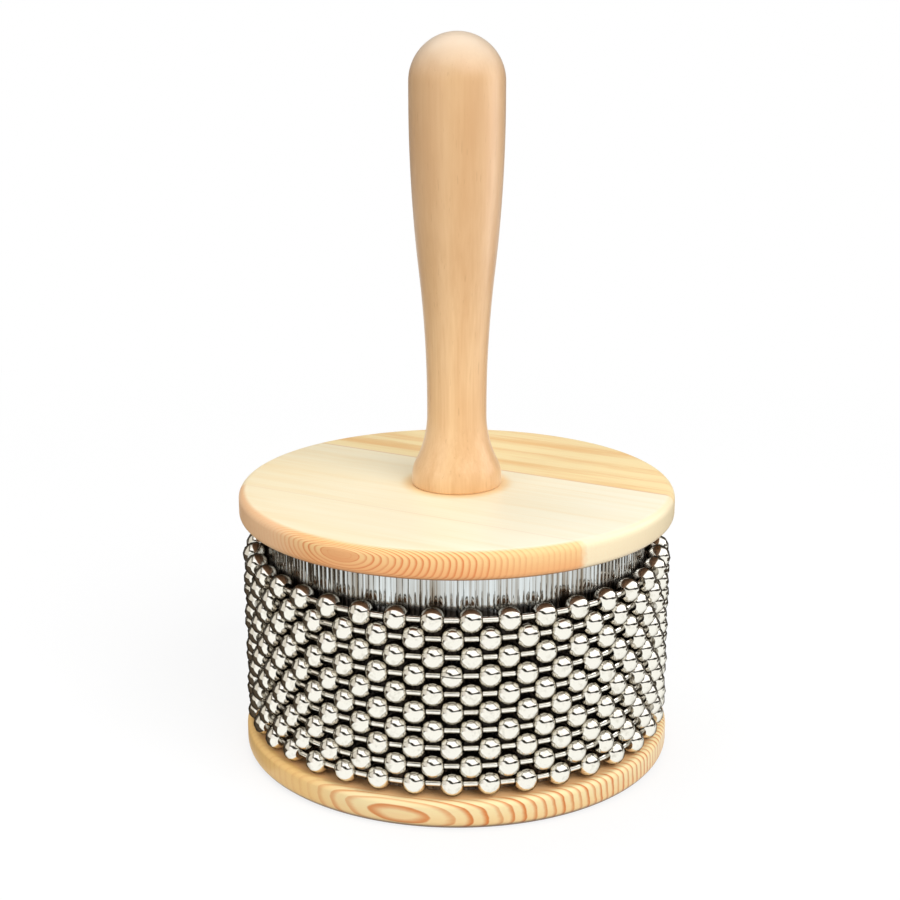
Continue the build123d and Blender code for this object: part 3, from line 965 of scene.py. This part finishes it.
@dataclass
class BallChain:
    """Sizes and placing of the ball chain that all loops share."""

    ball_radius: float = 3.1 * MM
    flat_radius: float = 1.4 * MM
    pin_radius: float = 0.8 * MM
    head_radius: float = 1.2 * MM
    head_land: float = 0.3 * MM
    head_length: float = 0.8 * MM
    hole_depth: float = 0.45 * MM
    head_play: float = 0.15 * MM
    pitch: float = 8.96 * MM
    count: int = 37
    first_angle: float = -1.4  # degrees from the front, on the lowest loop
    sides: int = 12
    bands: int = 6
    pin_sides: int = 8
    sharp_angle: float = 50.0
    swivel: float = 4.0  # degrees that a ball hangs askew
    roll: float = 0.5  # radians that a ball's joint strays from the drum's side
    stray: float = 0.07 * MM
    shown_joint: Pair = (7, 2.9)  # a loop, and the spin of its first ball that shows the joint

    @property
    def half_step(self) -> float:
        """Half the angle from one ball to the next."""
        return math.pi / self.count

    @property
    def loop_radius(self) -> float:
        """Radius of the ball centres, from the chord between two of them."""
        return self.pitch / (2 * math.sin(self.half_step))

    def angles(self, loop: int) -> np.ndarray:
        """Angle of each ball of a loop from the front; every other loop nests half a step round."""
        start = math.radians(self.first_angle) + (loop % 2) * self.half_step
        return start + 2 * self.half_step * np.arange(self.count)

    @staticmethod
    def bead(profile: np.ndarray, sides: int) -> Surface:
        """Profile of (x, r) turned round X and closed by a flat face at each end.

        Args:
            profile: Points from one end to the other.
            sides: Steps round the axis.

        Returns:
            The closed shape at the origin.
        """
        turn = 2 * np.pi * np.arange(sides) / sides
        x = np.broadcast_to(profile[:, :1], (len(profile), sides))
        radius = profile[:, 1:]
        points = np.stack([x, radius * np.cos(turn), radius * np.sin(turn)], -1).reshape(-1, 3)
        ends = np.arange(sides)[None]
        caps = [ends[:, ::-1], ends + (len(profile) - 1) * sides]
        return Surface(points, [grid_faces(len(profile), sides, True), *caps]).outward()

    def ball(self) -> Surface:
        """Ball round X with flat ends, from even steps of angle between the two flats.

        Its corners lie a little outside the true ball, so that its sides lie as much inside.

        Returns:
            The ball at the origin.
        """
        start = math.asin(self.flat_radius / self.ball_radius)
        angle = np.linspace(start, math.pi - start, self.bands + 1)
        outside = 2 * self.ball_radius / (1 + math.cos(math.pi / self.sides))
        profile = outside * np.stack([-np.cos(angle), np.sin(angle)], -1)
        return self.bead(profile, self.sides)

    def pin(self) -> tuple[Surface, float]:
        """Pin along X with a bevelled head at each end, and the radius at which it lies.

        Returns:
            The pin at the origin, and its distance from the drum's axis.
        """
        end = math.sqrt(self.ball_radius**2 - self.flat_radius**2)
        hole = end - self.hole_depth / 2
        span = self.loop_radius * math.sin(self.half_step) - hole * math.cos(self.half_step)
        face = span + self.hole_depth / 2 + self.head_play
        land, tip = face + self.head_land, face + self.head_length
        along = np.array([face, face, land, tip])
        around = np.array([self.pin_radius, self.head_radius, self.head_radius, self.pin_radius])
        half = np.stack([along, around], -1)
        profile = np.concatenate([half[::-1] * (-1, 1), half])
        away = self.loop_radius * math.cos(self.half_step) + hole * math.sin(self.half_step)
        return self.bead(profile, self.pin_sides), away

    @staticmethod
    def repeated(shape: Surface, turns: np.ndarray, places: np.ndarray) -> Surface:
        """Copies of a shape as one surface.

        Args:
            shape: The shape at the origin.
            turns: Matrix by which each copy is turned.
            places: Where each copy is set.

        Returns:
            All copies, with the faces of each kind together.
        """
        points = np.einsum("kij,nj->kni", turns, shape.points) + places[:, None]
        shift = (np.arange(len(turns)) * len(shape.points))[:, None, None]
        faces = [(rows[None] + shift).reshape(-1, rows.shape[1]) for rows in shape.faces]
        return Surface(points.reshape(-1, 3), faces)


def turns_about(axis: int, angle: np.ndarray) -> np.ndarray:
    """Rotation matrices about one axis.

    Args:
        axis: 0, 1 or 2 for X, Y or Z.
        angle: Angles in radians.

    Returns:
        One matrix for each angle.
    """
    first, second = (axis + 1) % 3, (axis + 2) % 3
    made = np.zeros((len(angle), 3, 3))
    made[:, axis, axis] = 1
    made[:, first, first] = made[:, second, second] = np.cos(angle)
    made[:, second, first] = np.sin(angle)
    made[:, first, second] = -np.sin(angle)
    return made


@dataclass
class ChainLoop:
    """One closed loop of ball chain: its balls and its pins, which ride on the loop's own body."""

    number: int
    height: float
    chain: BallChain

    @classmethod
    def from_frame(cls, number: int, chain: BallChain) -> "ChainLoop":
        """Loop at the height of its CAD node."""
        low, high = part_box(f"chain_{number:02d}_balls")
        return cls(number, (low.z + high.z) / 2, chain)

    @property
    def name(self) -> str:
        """Start of its pieces' names."""
        return f"loop_{self.number:02d}"

    def ring_places(self, angle: np.ndarray, radius: float) -> np.ndarray:
        """Points on the loop: (radius sin a, -radius cos a, height)."""
        level = np.full_like(angle, self.height)
        return np.stack([radius * np.sin(angle), -radius * np.cos(angle), level], -1)

    def balls(self) -> bpy.types.Mesh:
        """Mesh of the loop's balls, each spun, swivelled and moved a little by seeded chance.

        Returns:
            The mesh, with the normals of true balls, a UV map that runs round each from its joint, and the
            slope: how far each corner faces up or down.
        """
        chain = self.chain
        rng = np.random.default_rng(SEED + self.number)
        angle = chain.angles(self.number - 1)
        spin = rng.normal(0, chain.roll, chain.count)
        if self.number == chain.shown_joint[0]:
            spin[0] = chain.shown_joint[1]
        tilt = np.radians(rng.normal(0, chain.swivel, (2, chain.count)))
        stray = rng.normal(0, chain.stray, (chain.count, 3))
        turns = turns_about(2, angle) @ turns_about(2, tilt[0])
        turns = turns @ turns_about(1, tilt[1]) @ turns_about(0, spin)
        places = self.ring_places(angle, chain.loop_radius) + stray
        ball = chain.ball()
        mesh = chain.repeated(ball, turns, places).mesh(f"{self.name}_balls", chain.sharp_angle)
        layer = mesh.uv_layers.new(name="UVMap")
        layer.data.foreach_set("uv", self._joint_map().ravel())
        normals = self._normals(ball, turns)
        slope = mesh.attributes.new("slope", "FLOAT", "CORNER")
        slope.data.foreach_set("value", np.abs(normals[:, 2]))
        mesh.normals_split_custom_set(normals)
        return mesh

    def _joint_map(self) -> np.ndarray:
        """UV of every face corner: U is the step round the ball and V the band along it.

        Returns:
            One row for each corner; on the flats V is below 0.
        """
        chain = self.chain
        band, side = np.divmod(np.arange(chain.bands * chain.sides), chain.sides)
        u = np.stack([side, side + 1, side + 1, side], -1) / chain.sides
        v = np.stack([band, band, band + 1, band + 1], -1) / chain.bands
        quads = np.stack([u, v], -1).reshape(-1, 2)
        flats = np.tile([0.5, -1.0], (2 * chain.count * chain.sides, 1))
        return np.concatenate([np.tile(quads, (chain.count, 1)), flats])

    @staticmethod
    def _normals(ball: Surface, turns: np.ndarray) -> np.ndarray:
        """Normal at every face corner: outwards from the ball's centre, and along its axis on the flats.

        Args:
            ball: The ball at the origin: its quads, then its two flat ends.
            turns: Matrix of each ball.

        Returns:
            One row for each face corner of the loop's mesh.
        """
        outward = ball.points / np.linalg.norm(ball.points, axis=1, keepdims=True)
        axis = np.zeros_like(ball.points)
        axis[:, 0] = np.sign(ball.points[:, 0])
        parts = [outward[ball.faces[0]], axis[ball.faces[1]], axis[ball.faces[2]]]
        spun = [np.einsum("kij,nj->kni", turns, part.reshape(-1, 3)) for part in parts]
        return np.concatenate([part.reshape(-1, 3) for part in spun])

    def pins(self) -> bpy.types.Mesh:
        """Mesh of the loop's pins, each halfway between two balls.

        Returns:
            The mesh.
        """
        chain = self.chain
        pin, away = chain.pin()
        angle = chain.angles(self.number - 1) + chain.half_step
        pins = chain.repeated(pin, turns_about(2, angle), self.ring_places(angle, away))
        return pins.mesh(f"{self.name}_pins", chain.sharp_angle)

    def build(self, ball_finish: bpy.types.Material, pin_finish: bpy.types.Material) -> None:
        """Makes the loop's two pieces.

        Args:
            ball_finish, pin_finish: Their materials, which all loops share.
        """
        body = f"chain_{self.number:02d}"
        add_piece(f"{self.name}_balls", self.balls(), ball_finish, Slot.BALL_NICKEL, body, f"{body}_balls")
        add_piece(f"{self.name}_pins", self.pins(), pin_finish, Slot.PIN_NICKEL, body, f"{body}_pins")


@dataclass
class Studio:
    """Camera, floor, lamps and cards of a plain white studio."""

    camera_place: Point = (-0.00175, -0.41757, 0.19453)
    camera_fall: float = 15.44  # degrees below level
    lens: float = 66.84
    sensor: float = 36.0
    nearest: float = 0.01
    floor_size: float = 12.0
    floor_bounce: Colour = (0.4, 0.4, 0.4)
    floor_lift: float = 0.78  # part of the floor's white that a shadow can't take, near the drum
    lift_reach: Pair = (0.1, 0.5)  # distances from the axis between which it rises to all of it
    ambient: float = 0.45
    card_radius: float = 0.9
    card_rows: int = 9
    chain_front: Point = (0.0, -0.05, 0.035)  # the balls that the cards are set out for
    view_rise: float = 23.8  # degrees from those balls up to the camera
    rim_corner: float = 0.08  # column where the two arms of the soft box's rim meet
    rim_slopes: Pair = (0.5, 0.19)  # of its left and right arm
    rim_half: float = 0.05  # half its width
    back_ring: Pair = (0.78, 0.97)  # radii between which the back shows in a ball
    sheet_height: float = 0.0004
    sheet_columns: int = 50
    sheet_start: float = 0.058  # just past the discs
    sheet_near: float = 0.6
    sheet_far: float = 1.5
    # brightness of the dark sheets, which paint shade into what the metal mirrors
    sheet_dark: Colour = (0.085, 0.066, 0.047)
    handle_card_x: float = 0.13
    handle_card_y: Pair = (-0.06, 0.06)
    handle_card_z: Pair = (0.085, 0.21)

    def build(self) -> None:
        """Makes all of the studio."""
        self.camera()
        self.world()
        self.floor()
        self.lamp("key", place=(0.58, -0.76, 0.8), side=0.9, power=10.5)
        self.lamp("top", place=(-0.15, 0.3, 0.95), side=0.6, power=2.6)
        self.lamp("fill", place=(-0.75, -0.6, 0.4), side=0.6, power=2.6)
        self.pictures()
        self.sheets()
        self.handle_card()

    def camera(self) -> None:
        """Camera at the photograph's place, level from side to side."""
        data = bpy.data.cameras.new("camera")
        data.lens = self.lens
        data.sensor_width = self.sensor
        data.clip_start = self.nearest
        camera = bpy.data.objects.new("camera", data)
        camera.location = self.camera_place
        camera.rotation_euler = (math.radians(90 - self.camera_fall), 0.0, 0.0)
        bpy.context.scene.collection.objects.link(camera)
        bpy.context.scene.camera = camera

    @staticmethod
    def seen(graph: Graph) -> Value:
        """1 for rays that show the background: camera, mirrored and transmitted ones."""
        path = graph.node("ShaderNodeLightPath", output="Is Camera Ray")
        return graph.maths(
            "MINIMUM", path + path.also("Is Glossy Ray") + path.also("Is Transmission Ray"), 1.0
        )

    def world(self) -> None:
        """White where it is seen, and a plain even light elsewhere."""
        world = bpy.data.worlds.new("studio")
        world.use_nodes = True
        bpy.context.scene.world = world
        graph = Graph(world.node_tree)
        light = graph.node("ShaderNodeBackground", None, {"Color": WHITE, "Strength": self.ambient})
        white = graph.node("ShaderNodeBackground", None, {"Color": WHITE, "Strength": 1.0})
        both = graph.node("ShaderNodeMixShader", None, {0: self.seen(graph), 1: light, 2: white})
        graph.show(both, "World")

    def floor(self) -> None:
        """Pale floor that keeps the shadow and fades into the white behind it."""
        half = self.floor_size / 2
        points = np.array([(-half, -half, 0), (half, -half, 0), (half, half, 0), (-half, half, 0)])
        mesh = Surface(points, [np.array([[0, 1, 2, 3]])]).mesh("floor")
        material, graph = new_material("floor_white")
        x, y, _ = graph.parts(graph.place())
        rising = graph.step(graph.length(x, y), *self.lift_reach)
        lift = rising * (1.0 - self.floor_lift) + self.floor_lift
        seen = self.seen(graph)
        shade = graph.mix(self.floor_bounce, WHITE, seen)
        matt = graph.node("ShaderNodeBsdfDiffuse", None, {"Color": shade})
        white = graph.node("ShaderNodeEmission", None, {"Color": WHITE, "Strength": 1.0})
        graph.show(graph.node("ShaderNodeMixShader", None, {0: lift * seen, 1: matt, 2: white}))
        self._stand("floor", mesh, material)

    @staticmethod
    def _stand(name: str, mesh: bpy.types.Mesh, material: bpy.types.Material) -> bpy.types.Object:
        """Puts a piece of the studio into the scene.

        Args:
            name: Its name.
            mesh: Its mesh.
            material: Its material.

        Returns:
            The object.
        """
        mesh.materials.append(material)
        made = bpy.data.objects.new(name, mesh)
        bpy.context.scene.collection.objects.link(made)
        return made

    def lamp(self, name: str, place: Point, side: float, power: float) -> None:
        """Square soft lamp aimed at the drum, which the metal doesn't mirror.

        Args:
            name: The lamp's name.
            place: Where it hangs.
            side: Length of its side.
            power: Watts.
        """
        data = bpy.data.lights.new(name, "AREA")
        data.energy = power
        data.size = side
        lamp = bpy.data.objects.new(name, data)
        lamp.location = place
        aim = np.array(self.chain_front) - np.array(place)
        flat = math.hypot(aim[0], aim[1])
        lamp.rotation_euler = (math.atan2(flat, -aim[2]), 0.0, math.atan2(aim[1], aim[0]) - math.pi / 2)
        lamp.visible_glossy = False
        bpy.context.scene.collection.objects.link(lamp)

    def pictures(self) -> None:
        """Cards that are set out by their pictures in a ball at the front of the chain.

        They are a soft box up on the right, whose dark rim below is two straight arms with a plain width
        and two swellings that fall off as bell curves, a white wall under it, a grey streak and a pale
        card on the left, and a dark card that closes the back.
        """
        x = np.linspace(-0.38, 0.8, 70)
        left, right = self.rim_slopes
        rim = np.where(x < self.rim_corner, left * (self.rim_corner - x), right * (x - self.rim_corner))
        half = self.rim_half + self.bell(x, 0.07, -0.12, 0.15) + self.bell(x, 0.04, 0.6, 0.12)
        top = np.maximum(0.68 * np.sqrt(1 - ((x - 0.22) / 0.64) ** 2), rim + half)
        self.picture("soft_box", x, rim + half, top, (1.4, 1.4, 1.4))
        self.picture("soft_box_rim", x, rim - half, rim + half, (0.03, 0.025, 0.018))
        self.picture("front_wall", x, -0.28, rim - half, (1.1, 1.12, 1.11))
        self.picture("streak", np.linspace(-0.48, -0.38, 12), 0.16, 0.64, (0.2, 0.18, 0.15))
        inner, outer = self.back_ring
        x = np.linspace(-0.9, -0.48, 24)
        self.picture("left_card", x, -0.25, self.circle(x, inner), (0.8, 0.77, 0.7))
        x = np.linspace(-0.9, 0.9, 80)
        self.picture("back_card", x, self.circle(x, inner), self.circle(x, outer), (0.1, 0.09, 0.075))

    @staticmethod
    def bell(x: np.ndarray, height: float, middle: float, spread: float) -> np.ndarray:
        """Bell curve: the height times e to minus the square of (x less the middle) over the spread."""
        return height * np.exp(-(((x - middle) / spread) ** 2))

    @staticmethod
    def circle(x: np.ndarray, radius: float, least: float = 0.05) -> np.ndarray:
        """Height of a circle round the ball's centre at each column, and never under the least one."""
        return np.sqrt(np.clip(radius**2 - x**2, least**2, None))

    def sheets(self) -> None:
        """Sheets on the floor that only mirrors see: white in front and behind, and dark at the sides and
        in the sleeve's strip, where they paint shade into what the metal mirrors.
        """
        near, far = (self.sheet_start, self.sheet_near), (self.sheet_start, self.sheet_far)
        self.sheet("front_sheet", (-62, 115), far, 1, (1.1, 1.13, 1.12))
        self.sheet("right_sheet", (115, 150), near, 1, self.sheet_dark)
        self.sheet("rear_sheet", (150, 215), far, 1, (0.8, 0.8, 0.78))
        self.sheet("left_sheet", (215, 298), near, 1, self.sheet_dark)
        self.sheet("sleeve_strip", (87, 115), (0.14, 0.32), 2, self.sheet_dark)

    def handle_card(self) -> None:
        """Bright card to the right of the handle, which fades to white at its two upright edges."""
        y, z = np.array(self.handle_card_y), np.array(self.handle_card_z)[:, None]
        points = np.stack(np.broadcast_arrays(self.handle_card_x, y, z), -1)
        self.card("handle_card", points, (3.6, 3.6, 3.6), self.handle_card_y[1])

    def mirrored(self, x: np.ndarray, y: np.ndarray) -> np.ndarray:
        """Points that a ball at the front of the chain mirrors at places in its picture.

        In the camera's axes the normal n there is (x, y, sqrt(1 - x^2 - y^2)) and the mirrored direction
        is 2 (n . v) n - v, where v points at the camera.

        Args:
            x, y: Places to the right of the ball's centre and above it, in ball radii.

        Returns:
            One point for each place, at the cards' distance from the ball.
        """
        rise = math.radians(self.view_rise)
        up = np.array([0.0, math.sin(rise), math.cos(rise)])
        view = np.array([0.0, -math.cos(rise), math.sin(rise)])
        facing = np.sqrt(1 - x**2 - y**2)[..., None]
        normal = x[..., None] * np.array([1.0, 0.0, 0.0]) + y[..., None] * up + facing * view
        return np.array(self.chain_front) + self.card_radius * (2 * facing * normal - view)

    def picture(self, name: str, x: np.ndarray, low: Heights, high: Heights, colour: Colour) -> None:
        """Card set out by its picture in a ball.

        Args:
            name: The card's name.
            x: Columns of the picture, in ball radii to the right of the ball's centre.
            low, high: Where each column starts and ends, in ball radii above the centre.
            colour: Its brightness.
        """
        share = np.linspace(0, 1, self.card_rows)[:, None]
        columns, heights = np.broadcast_arrays(x, low + (high - low) * share)
        self.card(name, self.mirrored(columns, heights), colour)

    def sheet(self, name: str, turn: Pair, reach: Pair, layer: int, colour: Colour) -> None:
        """Sheet on the floor round the drum.

        Args:
            name: The sheet's name.
            turn: Degrees from the front where it starts and ends.
            reach: Its least and greatest distance from the drum's axis.
            layer: Its place in the pile of sheets, from 1.
            colour: Its brightness.
        """
        angle = np.radians(np.linspace(*turn, self.sheet_columns))
        away = np.linspace(*reach, self.card_rows)[:, None]
        level = np.full((self.card_rows, self.sheet_columns), layer * self.sheet_height)
        self.card(name, np.stack([away * np.sin(angle), -away * np.cos(angle), level], -1), colour)

    def card(self, name: str, points: np.ndarray, colour: Tint, fade: float = 0.0) -> None:
        """Puts up a card that shines into mirroring surfaces alone.

        Args:
            name: The card's name.
            points: Its grid of points.
            colour: Its brightness.
            fade: Distance along Y from the axis at which it has turned white, or 0 for a plain card.
        """
        rows, columns = points.shape[:2]
        mesh = Surface(points.reshape(-1, 3), [grid_faces(rows, columns)]).mesh(name)
        material, graph = new_material(name)
        if fade:
            off = graph.maths("ABSOLUTE", graph.parts(graph.place())[1])
            colour = graph.mix(colour, WHITE, graph.step(off, 0.0, fade))
        graph.show(graph.node("ShaderNodeEmission", None, {"Color": colour, "Strength": 1.0}))
        card = self._stand(name, mesh, material)
        card.visible_camera = card.visible_diffuse = card.visible_shadow = False


def upper_pine(disc: Disc) -> PineFinish:
    """Finish of the disc under the handle: three boards, and close rings that bow on the front edge.

    Args:
        disc: The disc.

    Returns:
        Its finish.
    """
    return PineFinish(
        "upper_pine",
        disc.radius,
        grain_turn=-29.0,
        rings=Rings(
            pith_height=disc.bottom + 4.5 * MM,
            pith_fall=0.0,
            pith_gap=7.3 * MM,
            first_gap=0.068 * MM,
            growth=0.6,
            phase=-1.3,
            heart=0.5,
            unevenness=0.3 * MM,
        ),
        contrast=1.0,
        edge=srgb(252, 208, 144),
        edge_low=srgb(246, 180, 118),
        edge_late=srgb(230, 140, 78),
        plain=srgb(248, 202, 154),
        fade_in=(-24.0 * MM, -6.0 * MM),
        fade_out=(30.0 * MM, 42.0 * MM),
        bottom=disc.bottom,
        top=disc.top,
        # painted shade on the underside
        under=srgb(150, 98, 60),
        under_shade_reach=(0.15 * MM, 0.7 * MM),
        # painted contact shade round the handle's foot
        contact_shade=srgb(246, 200, 126),
        contact_shade_reach=(12.0 * MM, 15.5 * MM),
        edge_reach=(2.1 * MM, 0.9 * MM),
        front_joint=-28.4 * MM,
        back_joint=15.9 * MM,
    )


def lower_pine(disc: Disc) -> PineFinish:
    """Finish of the disc that the cabasa stands on: one board, with wide rings on the front edge.

    Args:
        disc: The disc.

    Returns:
        Its finish.
    """
    return PineFinish(
        "lower_pine",
        disc.radius,
        grain_turn=-15.0,
        rings=Rings(
            pith_height=disc.bottom + 3.7 * MM,
            pith_fall=0.05,
            pith_gap=6.4 * MM,
            first_gap=1.06 * MM,
            growth=0.88,
            phase=0.49,
            heart=0.1,
            unevenness=1.17 * MM,
        ),
        contrast=0.95,
        edge=srgb(254, 231, 176),
        edge_low=srgb(253, 216, 154),
        edge_late=srgb(220, 130, 60),
        plain=srgb(252, 206, 130),
        fade_in=(-30.0 * MM, -8.0 * MM),
        fade_out=(60.0 * MM, 70.0 * MM),
        bottom=disc.bottom,
        top=disc.top,
        # painted shade along the bottom edge and the underside
        under=srgb(104, 70, 46),
        under_shade_reach=(0.7 * MM, 1.7 * MM),
        # painted contact shade under the chain
        contact_shade=srgb(238, 168, 106),
        contact_shade_reach=(disc.radius - 3.0 * MM, disc.radius - 1.2 * MM),
        edge_reach=(3.6 * MM, 1.6 * MM),
        face=srgb(252, 226, 172),
        face_late=srgb(242, 198, 134),
        face_sheen=srgb(253, 234, 186),
    )


def build_drum() -> None:
    """Makes the wooden pieces and the sleeve, and dresses the fittings that stay CAD nodes."""
    Handle.from_frame().build()
    upper = Disc.from_frame("upper_disc", "top_disc", True, BOLT_HOLE)
    lower = Disc.from_frame("lower_disc", "bottom_disc", False, BOLT_RECESS)
    upper.build(upper_pine(upper))
    lower.build(lower_pine(lower))
    Sleeve.from_frame().build()
    dress_node("core", HardwoodFinish("core_bare", srgb(222, 190, 140), srgb(196, 156, 104)))
    dress_node("through_bolt", FittingFinish("bolt_zinc", srgb(186, 188, 190), srgb(120, 120, 118), 0.3))
    dress_node("sleeve_tacks", FittingFinish("tack_steel", srgb(176, 176, 174), srgb(104, 100, 94), 0.28))
    dress_node("handle_insert", FittingFinish("insert_brass", srgb(212, 176, 98), srgb(150, 112, 52), 0.3))


def build_chain() -> None:
    """Makes the ten loops of chain, which share one finish for balls and one for pins."""
    chain = BallChain()
    ball_finish = NickelFinish("ball_plate").material()
    pin_finish = NickelFinish("pin_plate", has_seam=False).material()
    loops = sum(node.endswith("_balls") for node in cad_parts)
    for number in range(1, loops + 1):
        ChainLoop.from_frame(number, chain).build(ball_finish, pin_finish)


def main() -> None:
    """Builds the cabasa and its studio."""
    logging.basicConfig(level=logging.INFO, format="%(name)s: %(message)s")
    build_drum()
    build_chain()
    Studio().build()
    bpy.context.scene.view_settings.view_transform = "Standard"
    bpy.context.view_layer.update()


if __name__ == "__main__":
    main()
